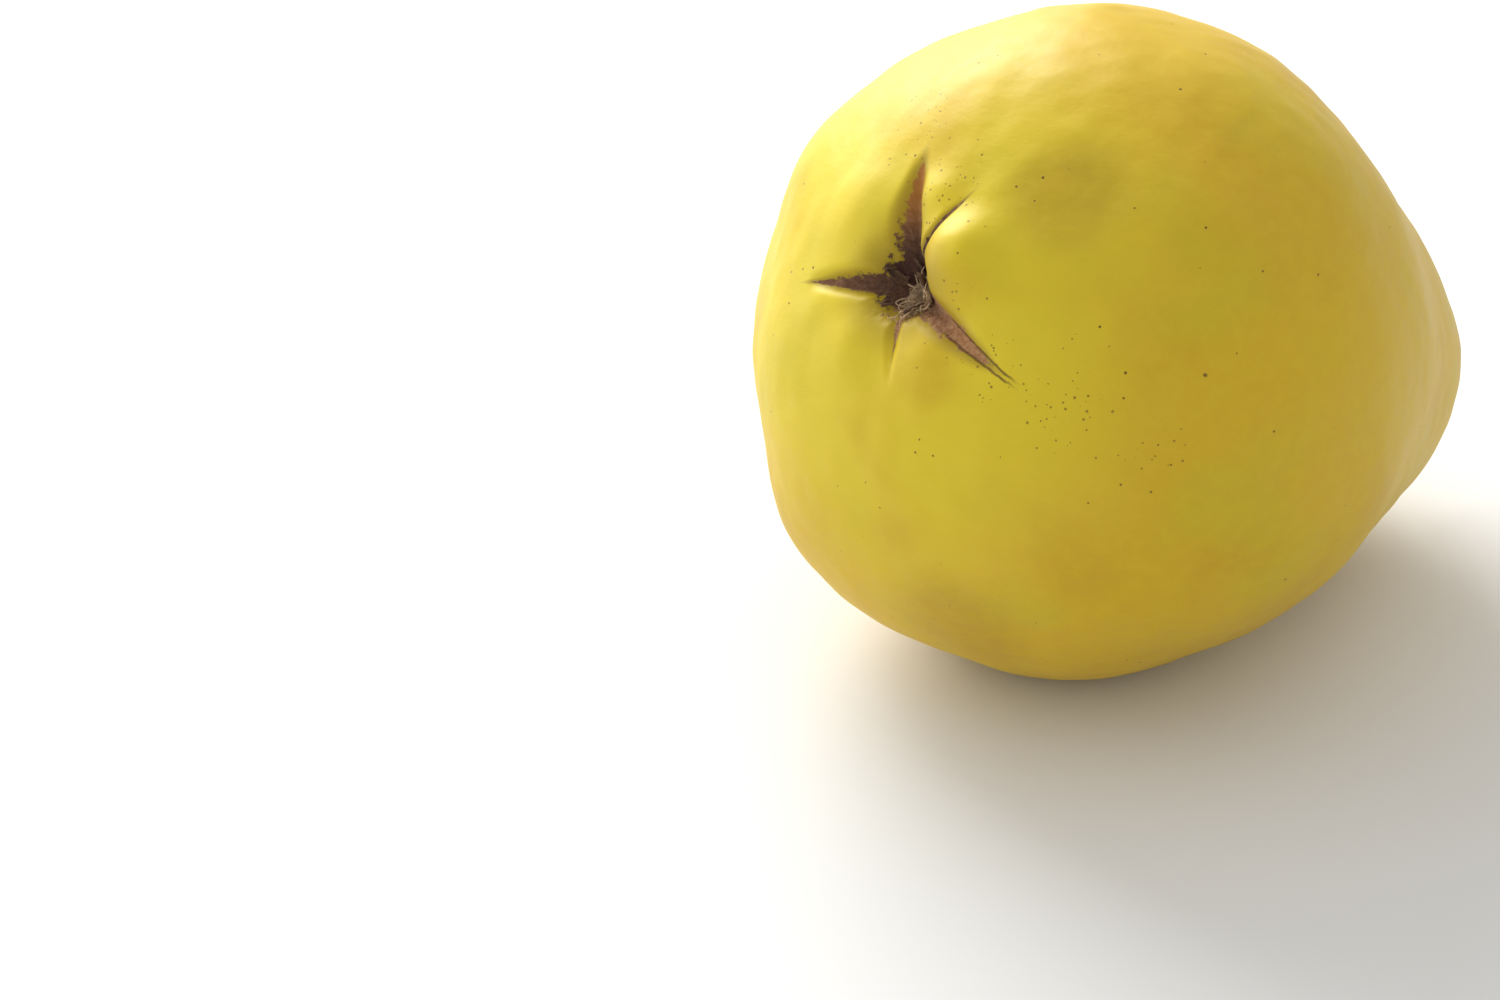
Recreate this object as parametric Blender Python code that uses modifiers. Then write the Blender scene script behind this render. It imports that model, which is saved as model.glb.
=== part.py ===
"""A ripe quince lying on its side, for Blender 4.5. Metres, +Z up.

The fruit's axis runs from the eye, the star-shaped hollow of the dried flower at -X, to the neck
and the stem at +X. The eye end is raised. The fruit stands on a small flat spot at z = 0, and the
origin is the middle of the whole outline at that height.

A place on the skin is a polar angle from the eye and a turn about the axis. Turn 0 faces -Y, and
turn 90 is the upper side. Near the eye, a place may also be a distance out from the axis.
"""
from math import cos, radians, sin

import bmesh
import bpy
import numpy as np
from mathutils import Matrix, Vector

# The turned body
BODY_CENTRE = (-0.0111, 0.0, 0.0427)
GIRTH_RADIUS = 0.0444
EYE_REACH = 0.0410
STEM_REACH = 0.0450
AXIS_TILT = 31.0
FLAT_BLEND = 0.0004

# The neck, which leans a little off the axis
NECK_POLAR = 172.0
NECK_TURN = 75.0
NECK_WIDTH = 27.0
NECK_RISE = 0.0210

# Swells and hollows of the body: polar angle, turn, width in degrees, rise in metres
SWELLS = (
    (53, 162, 14, 0.0014),
    (65, 253, 20, 0.0022),
    (107, 313, 13, -0.0010),
    (78, 112, 12, 0.0005),
    (37, 50, 9, -0.0012),
    (37, 22, 9, -0.0012),
    (56, 38, 13, 0.0008),
)

# The eye: a wide shallow basin with a pit in it, a little to the upper side of the axis
BASIN_DEPTH = 0.0030
BASIN_RADIUS = 0.0170
PIT_PLACE = (-0.0005, 0.0014)
PIT_DEPTH = 0.0040
PIT_RADIUS = 0.0052

# The big round knob that leans over the pit: side and upper side of the axis, radius, rise
KNOB_PLACE = (0.0080, 0.0086)
KNOB_RADIUS = 0.0055
KNOB_RISE = 0.0036

# Furrows that run out of the pit: turn, length, half width, depth
FURROWS = (
    (111, 0.0190, 0.0028, 0.0048),
    (202, 0.0175, 0.0024, 0.0042),
    (293, 0.0150, 0.0016, 0.0016),
    (348, 0.0220, 0.0026, 0.0038),
    (73, 0.0160, 0.0012, 0.0018),
)
FURROW_START = 0.0050
FURROW_NARROWING = 0.6
HOLLOW_BLEND = 3.0

# Lobes between the furrows: distance from the axis, turn, radius, rise
LOBES = (
    (0.0160, 153, 0.0080, 0.0015),
    (0.0145, 212, 0.0045, 0.0007),
    (0.0110, 248, 0.0050, 0.0012),
    (0.0120, 322, 0.0050, 0.0010),
    (0.0150, 93, 0.0038, 0.0010),
)

# The dimple at the end of the neck, and the woody stem that stands in it
DIMPLE_DEPTH = 0.0032
DIMPLE_RADIUS = 0.0055
STEM_RADIUS = 0.0017
STEM_LENGTH = 0.0060
STEM_STEPS = 14

# The dried flower in the pit
SEPAL_COUNT = 5
SEPAL_FIRST_TURN = 28.0
SEPAL_START = 0.0029
SEPAL_RUN = 0.0022
SEPAL_HALF_WIDTH = 0.0008
SEPAL_THICKNESS = 0.0004
SEPAL_LIFT = 0.0007
TUFT_RADIUS = 0.0021
TUFT_HEIGHT = 0.0022

TOUCH_GAP = 0.0003
FRUIT_SEGMENTS = 56
FRUIT_RINGS = 54
RING_CROWDING = 0.35


def bell(x):
    """1 at zero, falling smoothly to nothing past 2."""
    return np.exp(-np.square(x))


def plateau(x):
    """Like bell, with a flat top and a steeper side."""
    return np.exp(-np.power(np.abs(x), 4))


def valley(x):
    """Like bell, with a rounder floor and a steeper side."""
    return np.exp(-np.power(np.abs(x), 2.6))


def ramp(x):
    """Smooth step from 0 to 1."""
    x = np.clip(x, 0.0, 1.0)
    return x * x * (3.0 - 2.0 * x)


def direction(polar, turn):
    """Unit vectors in the fruit's own axes: side, upper side, eye."""
    p = np.radians(polar)
    t = np.radians(turn)
    return np.stack((np.sin(p) * np.cos(t), np.sin(p) * np.sin(t), np.cos(p)), axis=-1)


def angle_from(rays, polar, turn):
    """Degrees between the rays and one direction."""
    return np.degrees(np.arccos(np.clip(rays @ direction(polar, turn), -1.0, 1.0)))


def reach(polar, turn):
    """Distance from the body's centre to the skin."""
    rays = direction(polar, turn)
    end = np.where(polar < 90.0, EYE_REACH, STEM_REACH)
    length = 1.0 / np.hypot(np.sin(np.radians(polar)) / GIRTH_RADIUS, np.cos(np.radians(polar)) / end)
    from_neck = angle_from(rays, NECK_POLAR, NECK_TURN)
    length = length + NECK_RISE * bell(from_neck / NECK_WIDTH)
    length = length - DIMPLE_DEPTH * bell(GIRTH_RADIUS * np.radians(from_neck) / DIMPLE_RADIUS)
    for swell_polar, swell_turn, width, rise in SWELLS:
        length = length + rise * bell(angle_from(rays, swell_polar, swell_turn) / width)
    return length + eye_relief(GIRTH_RADIUS * np.radians(polar), turn)


def furrow_shape(along, across, run, half_width):
    """1 where a furrow leaves the pit, falling to 0 at its sides and its far end."""
    fade = ramp(0.5 + along / FURROW_START) * np.clip(1.0 - along / run, 0.0, 1.0)
    narrowing = 1.0 - FURROW_NARROWING * np.clip(along / run, 0.0, 1.0)
    return fade * valley(across / (half_width * narrowing))


def flat_place(out, turn, origin):
    """Steps to the side and to the upper side from an origin near the eye."""
    return out * np.cos(np.radians(turn)) - origin[0], out * np.sin(np.radians(turn)) - origin[1]


def eye_relief(out, turn):
    """Rise and fall of the skin round the eye, at a distance out from the axis."""
    x, y = flat_place(out, turn, PIT_PLACE)
    hollow = (PIT_DEPTH * plateau(np.hypot(x, y) / PIT_RADIUS)) ** HOLLOW_BLEND
    for furrow_turn, run, half_width, depth in FURROWS:
        c = cos(radians(furrow_turn))
        s = sin(radians(furrow_turn))
        furrow = furrow_shape(x * c + y * s, y * c - x * s, run, half_width)
        hollow = hollow + (depth * furrow) ** HOLLOW_BLEND
    from_knob = np.hypot(*flat_place(out, turn, KNOB_PLACE)) / KNOB_RADIUS
    relief = KNOB_RISE * valley(from_knob) - hollow ** (1.0 / HOLLOW_BLEND) * (1.0 - plateau(from_knob))
    relief = relief - BASIN_DEPTH * bell(out / BASIN_RADIUS)
    for lobe_out, lobe_turn, radius, rise in LOBES:
        lobe = (lobe_out * cos(radians(lobe_turn)), lobe_out * sin(radians(lobe_turn)))
        relief = relief + rise * bell(np.hypot(*flat_place(out, turn, lobe)) / radius)
    return relief


def body_axes():
    """Side, upper side and eye directions of the lying fruit, as rows."""
    tilt = radians(AXIS_TILT)
    side = np.array((0.0, -1.0, 0.0))
    eye = np.array((-cos(tilt), 0.0, sin(tilt)))
    return np.array((side, np.cross(eye, side), eye))


def skin(polar, turn):
    """Points of the skin, with the underside pressed flat where the fruit rests."""
    rays = direction(polar, turn) @ body_axes()
    points = np.array(BODY_CENTRE) + reach(polar, turn)[..., None] * rays
    height = points[..., 2]
    rounded = np.square(height + FLAT_BLEND) / (4.0 * FLAT_BLEND)
    points[..., 2] = np.where(height > FLAT_BLEND, height, np.where(height > -FLAT_BLEND, rounded, 0.0))
    return points


def place_near_eye(along, across, turn):
    """A point of the skin at a run out from the pit's middle and a step to its side."""
    c = np.cos(np.radians(turn))
    s = np.sin(np.radians(turn))
    x = PIT_PLACE[0] + along * c - across * s
    y = PIT_PLACE[1] + along * s + across * c
    return skin(np.degrees(np.hypot(x, y) / GIRTH_RADIUS), np.degrees(np.arctan2(y, x)))


def skin_near_eye(along, across, turn, lift):
    """Points held off the skin, at a run out from the pit's middle and a step to its side."""
    step = 0.0001
    points = place_near_eye(along, across, turn)
    by_run = place_near_eye(along + step, across, turn) - points
    by_side = place_near_eye(along, across + step, turn) - points
    normal = np.cross(by_run, by_side)
    normal = normal / np.linalg.norm(normal, axis=-1, keepdims=True)
    return points + lift * normal


def material(name, colour, roughness):
    """A plain Principled material."""
    made = bpy.data.materials.new(name)
    made.use_nodes = True
    shader = made.node_tree.nodes["Principled BSDF"]
    shader.inputs["Base Color"].default_value = (*colour, 1.0)
    shader.inputs["Roughness"].default_value = roughness
    shader.inputs["Metallic"].default_value = 0.0
    return made


def add_object(name, bm, collection, finish):
    """Turn a bmesh into a smooth-shaded object with one material."""
    mesh = bpy.data.meshes.new(name)
    bm.to_mesh(mesh)
    bm.free()
    mesh.materials.append(finish)
    mesh.shade_smooth()
    made = bpy.data.objects.new(name, mesh)
    collection.objects.link(made)
    return made


def move_vertices(bm, points):
    """Put the bmesh's vertices, in order, on the given points."""
    for vertex, point in zip(bm.verts, points):
        vertex.co = point


def make_fruit(collection):
    """Flesh and skin, one closed body: a sphere whose rings crowd at the eye and at the stem."""
    bm = bmesh.new()
    bmesh.ops.create_uvsphere(bm, u_segments=FRUIT_SEGMENTS, v_segments=FRUIT_RINGS, radius=1.0)
    ball = np.array([vertex.co for vertex in bm.verts])
    even = np.arccos(np.clip(ball[:, 2], -1.0, 1.0))
    polar = np.degrees(even - RING_CROWDING * np.sin(2.0 * even))
    turn = np.degrees(np.arctan2(ball[:, 1], ball[:, 0]))
    move_vertices(bm, skin(polar, turn))
    bmesh.ops.triangulate(bm, faces=bm.faces)
    bmesh.ops.recalc_face_normals(bm, faces=bm.faces)
    add_object("fruit", bm, collection, material("quince_skin", (0.62, 0.46, 0.04), 0.45))


def make_sepal(number, collection, finish):
    """One dried sepal: a narrow scrap that climbs the wall of the pit."""
    bm = bmesh.new()
    bmesh.ops.create_grid(bm, x_segments=5, y_segments=2, size=0.5)
    flat = np.array([vertex.co for vertex in bm.verts])
    along = flat[:, 0] + 0.5
    half_width = SEPAL_HALF_WIDTH * (1.0 - 0.6 * along ** 2)
    turn = SEPAL_FIRST_TURN + (number - 1) * 360.0 / SEPAL_COUNT
    points = skin_near_eye(SEPAL_START + SEPAL_RUN * along, 2.0 * half_width * flat[:, 1], turn, SEPAL_LIFT)
    move_vertices(bm, points)
    sepal = add_object("sepal_%d" % number, bm, collection, finish)
    shell = sepal.modifiers.new("thickness", "SOLIDIFY")
    shell.thickness = SEPAL_THICKNESS
    shell.offset = 0.0


def make_stamens(collection):
    """The tuft of dried stamens: a low cushion on the floor of the pit."""
    bm = bmesh.new()
    bmesh.ops.create_uvsphere(bm, u_segments=16, v_segments=8, radius=0.5)
    ball = np.array([vertex.co for vertex in bm.verts])
    out = 2.0 * TUFT_RADIUS * np.hypot(ball[:, 0], ball[:, 1])
    turn = np.degrees(np.arctan2(ball[:, 1], ball[:, 0]))
    floor = place_near_eye(out, np.zeros_like(out), turn)
    lift = 2.0 * TOUCH_GAP + TUFT_HEIGHT * (ball[:, 2] + 0.5)
    move_vertices(bm, floor + lift[:, None] * body_axes()[2])
    add_object("stamens", bm, collection, material("dried_stamens", (0.16, 0.10, 0.05), 0.9))


def make_stem(collection):
    """The woody stub of the stem: a turned profile stood on the floor of the dimple."""
    profile = (
        (0.0, STEM_LENGTH),
        (0.70 * STEM_RADIUS, STEM_LENGTH),
        (1.05 * STEM_RADIUS, 0.88 * STEM_LENGTH),
        (0.90 * STEM_RADIUS, 0.60 * STEM_LENGTH),
        (STEM_RADIUS, 0.25 * STEM_LENGTH),
        (0.80 * STEM_RADIUS, 0.05 * STEM_LENGTH),
        (0.0, 0.0),
    )
    mesh = bpy.data.meshes.new("stem")
    edges = [(i, i + 1) for i in range(len(profile) - 1)]
    mesh.from_pydata([(x, 0.0, z) for x, z in profile], edges, [])
    mesh.materials.append(material("stem_wood", (0.13, 0.08, 0.04), 0.8))
    stem = bpy.data.objects.new("stem", mesh)
    collection.objects.link(stem)
    outward = Vector(direction(NECK_POLAR, NECK_TURN) @ body_axes())
    floor = Vector(skin(np.array(NECK_POLAR), np.array(NECK_TURN)))
    upright = outward.to_track_quat("Z", "Y").to_matrix().to_4x4()
    stem.matrix_world = Matrix.Translation(floor + 2.0 * TOUCH_GAP * outward) @ upright
    lathe = stem.modifiers.new("turned", "SCREW")
    lathe.steps = STEM_STEPS
    lathe.render_steps = STEM_STEPS
    lathe.use_merge_vertices = True
    lathe.merge_threshold = 0.00001
    lathe.use_smooth_shade = True


def main():
    for old in list(bpy.data.objects):
        bpy.data.objects.remove(old)
    collection = bpy.data.collections.new("quince")
    bpy.context.scene.collection.children.link(collection)
    make_fruit(collection)
    dry = material("dried_sepal", (0.20, 0.12, 0.06), 0.85)
    for number in range(1, SEPAL_COUNT + 1):
        make_sepal(number, collection, dry)
    make_stamens(collection)
    make_stem(collection)


main()
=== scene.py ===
"""A ripe quince lying on its side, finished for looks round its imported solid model. Metres, +Z up."""
from math import cos, pi, radians, sin, sqrt

import bmesh
import bpy
import numpy as np
from bpy.props import FloatProperty, FloatVectorProperty, IntProperty, PointerProperty
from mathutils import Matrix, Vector


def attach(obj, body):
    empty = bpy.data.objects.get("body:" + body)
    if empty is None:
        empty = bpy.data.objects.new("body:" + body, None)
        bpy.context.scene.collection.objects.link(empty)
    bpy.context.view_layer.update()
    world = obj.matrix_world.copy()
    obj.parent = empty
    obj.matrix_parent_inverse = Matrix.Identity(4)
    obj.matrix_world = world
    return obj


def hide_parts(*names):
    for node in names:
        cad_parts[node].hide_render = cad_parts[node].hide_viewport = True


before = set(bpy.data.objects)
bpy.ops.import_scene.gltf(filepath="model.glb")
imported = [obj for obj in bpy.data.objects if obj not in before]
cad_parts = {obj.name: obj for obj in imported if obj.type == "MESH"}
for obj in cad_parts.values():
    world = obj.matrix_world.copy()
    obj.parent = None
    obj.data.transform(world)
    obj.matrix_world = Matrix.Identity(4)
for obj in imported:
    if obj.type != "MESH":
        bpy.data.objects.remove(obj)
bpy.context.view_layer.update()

bl_info = {
    "name": "Quince",
    "version": (1, 0, 0),
    "blender": (4, 5, 0),
    "location": "View3D > Sidebar > Quince",
    "description": "Builds a ripe quince with a furrowed eye, dried flower parts and a woody stem",
    "category": "Add Mesh",
}

MM = 0.001

# ---------------------------------------------------------------------------
# The form, the same as the solid model's: angles in degrees, lengths in metres
# ---------------------------------------------------------------------------
BODY_CENTRE = (-0.0111, 0.0, 0.0427)
GIRTH_RADIUS = 0.0444
EYE_REACH = 0.0410
STEM_REACH = 0.0450
AXIS_TILT = 31.0
FLAT_BLEND = 0.0004

NECK_POLAR = 172.0
NECK_TURN = 75.0
NECK_WIDTH = 27.0
NECK_RISE = 0.0210

# Polar angle, turn, width in degrees, rise
SWELLS = (
    (53, 162, 14, 0.0014),
    (65, 253, 20, 0.0022),
    (107, 313, 13, -0.0010),
    (78, 112, 12, 0.0005),
    (37, 50, 9, -0.0012),
    (37, 22, 9, -0.0012),
    (56, 38, 13, 0.0008),
)

BASIN_DEPTH = 0.0030
BASIN_RADIUS = 0.0170
# Side and upper side of the eye's axis
PIT_PLACE = (-0.0005, 0.0014)
PIT_DEPTH = 0.0040
PIT_RADIUS = 0.0052
KNOB_PLACE = (0.0080, 0.0086)
KNOB_RADIUS = 0.0055
KNOB_RISE = 0.0036

# Turn, length, half width, depth
FURROWS = (
    (111, 0.0190, 0.0028, 0.0048),
    (202, 0.0175, 0.0024, 0.0042),
    (293, 0.0150, 0.0016, 0.0016),
    (348, 0.0220, 0.0026, 0.0038),
    (73, 0.0160, 0.0012, 0.0018),
)
FURROW_START = 0.0050
FURROW_NARROWING = 0.6
HOLLOW_BLEND = 3.0

# Distance from the axis, turn, radius, rise
LOBES = (
    (0.0160, 153, 0.0080, 0.0015),
    (0.0145, 212, 0.0045, 0.0007),
    (0.0110, 248, 0.0050, 0.0012),
    (0.0120, 322, 0.0050, 0.0010),
    (0.0150, 93, 0.0038, 0.0010),
)

DIMPLE_DEPTH = 0.0032
DIMPLE_RADIUS = 0.0055
STEM_RADIUS = 0.0017
STEM_LENGTH = 0.0060
STEM_ROWS = 48

SEPAL_COUNT = 5
SEPAL_FIRST_TURN = 28.0
SEPAL_START = 0.0029


def bell(x):
    """1 at zero, falling smoothly to nothing past 2."""
    return np.exp(-np.square(x))


def plateau(x):
    """Like bell, with a flat top and a steeper side."""
    return np.exp(-np.power(np.abs(x), 4))


def valley(x):
    """Like bell, with a rounder floor and a steeper side."""
    return np.exp(-np.power(np.abs(x), 2.6))


def ramp(x):
    """Smooth step from 0 to 1."""
    x = np.clip(x, 0.0, 1.0)
    return x * x * (3.0 - 2.0 * x)


def direction(polar, turn):
    """Unit vectors in the fruit's own axes: side, upper side, eye."""
    p = np.radians(polar)
    t = np.radians(turn)
    return np.stack((np.sin(p) * np.cos(t), np.sin(p) * np.sin(t), np.cos(p)), axis=-1)


def angle_from(rays, polar, turn):
    """Degrees between the rays and one direction."""
    return np.degrees(np.arccos(np.clip(rays @ direction(polar, turn), -1.0, 1.0)))


def flat_place(out, turn, origin):
    """Steps to the side and to the upper side from an origin near the eye."""
    return out * np.cos(np.radians(turn)) - origin[0], out * np.sin(np.radians(turn)) - origin[1]


def furrow_places(out, turn):
    """For each furrow, how far each place is along it and across it, and the furrow's own numbers."""
    x, y = flat_place(out, turn, PIT_PLACE)
    for furrow_turn, run, half_width, depth in FURROWS:
        c = cos(radians(furrow_turn))
        s = sin(radians(furrow_turn))
        yield x * c + y * s, y * c - x * s, run, half_width, depth


def furrow_shape(along, across, run, half_width):
    """1 where a furrow leaves the pit, falling to 0 at its sides and its far end."""
    fade = ramp(0.5 + along / FURROW_START) * np.clip(1.0 - along / run, 0.0, 1.0)
    narrowing = 1.0 - FURROW_NARROWING * np.clip(along / run, 0.0, 1.0)
    return fade * valley(across / (half_width * narrowing))


def eye_relief(out, turn):
    """Rise and fall of the skin round the eye, at a distance out from the axis."""
    hollow = (PIT_DEPTH * plateau(np.hypot(*flat_place(out, turn, PIT_PLACE)) / PIT_RADIUS)) ** HOLLOW_BLEND
    for along, across, run, half_width, depth in furrow_places(out, turn):
        hollow = hollow + (depth * furrow_shape(along, across, run, half_width)) ** HOLLOW_BLEND
    from_knob = np.hypot(*flat_place(out, turn, KNOB_PLACE)) / KNOB_RADIUS
    relief = KNOB_RISE * valley(from_knob) - hollow ** (1.0 / HOLLOW_BLEND) * (1.0 - plateau(from_knob))
    relief = relief - BASIN_DEPTH * bell(out / BASIN_RADIUS)
    for lobe_out, lobe_turn, radius, rise in LOBES:
        lobe = (lobe_out * cos(radians(lobe_turn)), lobe_out * sin(radians(lobe_turn)))
        relief = relief + rise * bell(np.hypot(*flat_place(out, turn, lobe)) / radius)
    return relief


def reach(polar, turn):
    """Distance from the body's centre to the skin, without the fine relief."""
    rays = direction(polar, turn)
    end = np.where(polar < 90.0, EYE_REACH, STEM_REACH)
    length = 1.0 / np.hypot(np.sin(np.radians(polar)) / GIRTH_RADIUS, np.cos(np.radians(polar)) / end)
    from_neck = angle_from(rays, NECK_POLAR, NECK_TURN)
    length = length + NECK_RISE * bell(from_neck / NECK_WIDTH)
    length = length - DIMPLE_DEPTH * bell(GIRTH_RADIUS * np.radians(from_neck) / DIMPLE_RADIUS)
    for swell_polar, swell_turn, width, rise in SWELLS:
        length = length + rise * bell(angle_from(rays, swell_polar, swell_turn) / width)
    return length + eye_relief(GIRTH_RADIUS * np.radians(polar), turn)


def body_axes():
    """Side, upper side and eye directions of the lying fruit, as rows."""
    tilt = radians(AXIS_TILT)
    side = np.array((0.0, -1.0, 0.0))
    eye = np.array((-cos(tilt), 0.0, sin(tilt)))
    return np.array((side, np.cross(eye, side), eye))


def press_flat(points):
    """The underside is pressed flat at z = 0, with a soft edge."""
    height = points[..., 2]
    rounded = np.square(height + FLAT_BLEND) / (4.0 * FLAT_BLEND)
    points[..., 2] = np.where(height > FLAT_BLEND, height, np.where(height > -FLAT_BLEND, rounded, 0.0))
    return points


def skin(polar, turn, extra=0.0):
    """Points of the skin, raised by an extra length along each ray."""
    rays = direction(polar, turn) @ body_axes()
    return press_flat(np.array(BODY_CENTRE) + (reach(polar, turn) + extra)[..., None] * rays)


def place_near_eye(along, across, turn):
    """A point of the skin at a run out from the pit's middle and a step to its side."""
    c = np.cos(np.radians(turn))
    s = np.sin(np.radians(turn))
    x = PIT_PLACE[0] + along * c - across * s
    y = PIT_PLACE[1] + along * s + across * c
    return skin(np.degrees(np.hypot(x, y) / GIRTH_RADIUS), np.degrees(np.arctan2(y, x)))


def skin_near_eye(along, across, turn, lift):
    """Points held off the skin, at a run out from the pit's middle and a step to its side."""
    step = 0.05 * MM
    points = place_near_eye(along, across, turn)
    by_run = place_near_eye(along + step, across, turn) - points
    by_side = place_near_eye(along, across + step, turn) - points
    normal = np.cross(by_run, by_side)
    normal = normal / np.linalg.norm(normal, axis=-1, keepdims=True)
    return points + np.asarray(lift)[..., None] * normal


# ---------------------------------------------------------------------------
# Shader expressions
# ---------------------------------------------------------------------------
class Wire:
    """A socket of a material that takes part in Python expressions."""

    def __init__(self, shader, socket):
        self.shader = shader
        self.socket = socket

    def _math(self, operation, *values):
        return self.shader.node("ShaderNodeMath", {"operation": operation}, dict(enumerate(values)))

    def __add__(self, other):
        return self._math("ADD", self, other)

    __radd__ = __add__

    def __sub__(self, other):
        return self._math("SUBTRACT", self, other)

    def __rsub__(self, other):
        return self._math("SUBTRACT", other, self)

    def __mul__(self, other):
        return self._math("MULTIPLY", self, other)

    __rmul__ = __mul__

    def __gt__(self, other):
        return self._math("GREATER_THAN", self, other)

    def __lt__(self, other):
        return self._math("LESS_THAN", self, other)

    def __pow__(self, other):
        return self._math("POWER", self, other)

    def __abs__(self):
        return self._math("ABSOLUTE", self)

    def least(self, other):
        return self._math("MINIMUM", self, other)

    def step(self, low, high, first=0.0, last=1.0):
        """Smooth step from first to last as this goes from low to high."""
        names = {"Value": self, "From Min": low, "From Max": high, "To Min": first, "To Max": last}
        return self.shader.node("ShaderNodeMapRange", {"interpolation_type": "SMOOTHSTEP"}, names, "Result")

    def part(self, axis):
        """One component of a vector."""
        return self.shader.node("ShaderNodeSeparateXYZ", {}, {"Vector": self}, axis)


class Shader:
    """One material under construction."""

    def __init__(self, name):
        self.material = bpy.data.materials.new(name)
        self.material.use_nodes = True
        self.tree = self.material.node_tree
        self.principled = self.tree.nodes["Principled BSDF"]

    def connect(self, node, inputs):
        """Give a node's sockets their values or links."""
        for name, value in inputs.items():
            socket = node.inputs[name]
            if isinstance(value, Wire):
                self.tree.links.new(value.socket, socket)
            elif hasattr(socket.default_value, "__len__") and len(socket.default_value) == 4:
                socket.default_value = (*value[:3], 1.0)
            else:
                socket.default_value = value

    def node(self, kind, settings, inputs, output=0):
        """A node with its settings made first, then its sockets."""
        made = self.tree.nodes.new(kind)
        for name, value in settings.items():
            if name == "stops":
                self._stops(made.color_ramp, value)
            else:
                setattr(made, name, value)
        self.connect(made, inputs)
        return Wire(self, made.outputs[output])

    @staticmethod
    def _stops(colour_ramp, stops):
        while len(colour_ramp.elements) < len(stops):
            colour_ramp.elements.new(1.0)
        for element, (place, colour) in zip(colour_ramp.elements, stops):
            element.position = place
            element.color = (*colour, 1.0)

    def place(self):
        """The point's own coordinates, in metres."""
        return self.node("ShaderNodeTexCoord", {}, {}, "Object")

    def attribute(self, name, output="Fac"):
        """A value that the mesh carries at each vertex."""
        return self.node("ShaderNodeAttribute", {"attribute_name": name}, {}, output)

    def noise(self, where, size, detail=2.0, rough=0.5, output="Fac"):
        """Fractal noise whose largest lumps are about the given size in metres."""
        inputs = {"Vector": where, "Scale": 1.0 / size, "Detail": detail, "Roughness": rough}
        return self.node("ShaderNodeTexNoise", {}, inputs, output)

    def cells(self, where, size, output="Distance"):
        """Voronoi cells of about the given size in metres."""
        inputs = {"Vector": where, "Scale": 1.0 / size}
        return self.node("ShaderNodeTexVoronoi", {"feature": "F1"}, inputs, output)

    def stretch(self, where, scale):
        """A vector multiplied axis by axis."""
        return self.node("ShaderNodeVectorMath", {"operation": "MULTIPLY"}, {0: where, 1: scale})

    def shift(self, where, offset):
        """A vector moved by another."""
        return self.node("ShaderNodeVectorMath", {"operation": "ADD"}, {0: where, 1: offset})

    def mix(self, factor, first, second, blend="MIX"):
        """A colour between two colours."""
        settings = {"data_type": "RGBA", "blend_type": blend}
        return self.node("ShaderNodeMix", settings, {0: factor, 6: first, 7: second}, 2)

    def bump(self, height, distance):
        """A normal from a height of 0 to 1 that stands for the given distance in metres."""
        inputs = {"Height": height, "Distance": distance, "Strength": 1.0}
        return self.node("ShaderNodeBump", {}, inputs, "Normal")

    def finish(self, **sockets):
        """Feed the Principled shader and hand the material over."""
        self.connect(self.principled, {name.replace("_", " "): value for name, value in sockets.items()})
        return self.material


# ---------------------------------------------------------------------------
# Settings
# ---------------------------------------------------------------------------
def colour_setting(name, description, default):
    """A colour property in linear red, green and blue."""
    return FloatVectorProperty(
        name=name, description=description, default=default, subtype="COLOR", size=3, min=0.0, max=1.0
    )


def length_setting(name, description, default):
    """A length property in metres."""
    return FloatProperty(name=name, description=description, default=default, min=0.0, unit="LENGTH")


class QuinceFruitSettings(bpy.types.PropertyGroup):
    """The fruit's mesh, fine relief and colours."""

    segments: IntProperty(name="Segments", description="Quads round the axis", default=384, min=64)
    rings: IntProperty(name="Rings", description="Quads from eye to stem", default=256, min=48)
    waviness: length_setting("Waviness", "Height of the broad unevenness of the skin", 0.25 * MM)
    wrinkle: length_setting("Wrinkles", "Height of the corky wrinkles in the furrows", 0.16 * MM)
    # Partly the ripe skin's own tone, partly painted shade: a darker gold for the flank that lies away from
    # the light.
    shaded_gold: colour_setting("Gold", "Ripe skin on the flank", (0.63, 0.41, 0.016))
    lemon: colour_setting("Lemon", "Paler ripe skin round the eye", (0.72, 0.56, 0.022))
    # Painted shade: brown for the shaded valley behind the knob and the shaded low flank.
    brown_shade: colour_setting("Umber", "Brownish ripe places", (0.42, 0.25, 0.014))
    green: colour_setting("Green", "Last green of the unripe skin", (0.54, 0.45, 0.018))
    amber: colour_setting("Amber", "Deepest ripe patches", (0.55, 0.33, 0.014))
    # Partly the skin's green tint, partly painted shade on the skin beside the furrows.
    olive_tint_and_shade: colour_setting("Olive", "Tint of the skin beside a furrow", (0.34, 0.22, 0.016))
    cork: colour_setting("Cork", "Russet of the furrows", (0.34, 0.155, 0.065))
    bloom: colour_setting("Bloom", "Pale scales on the cork", (0.52, 0.31, 0.17))
    rust: colour_setting("Rust", "Orange-brown end of a furrow", (0.40, 0.17, 0.035))
    # Painted shade: near-black russet for the shaded depths of the pit and the furrows.
    cork_shade: colour_setting("Dark", "Deepest russet in the pit", (0.085, 0.04, 0.03))
    dots: colour_setting("Dots", "Breathing pores of the skin", (0.13, 0.055, 0.012))


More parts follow.
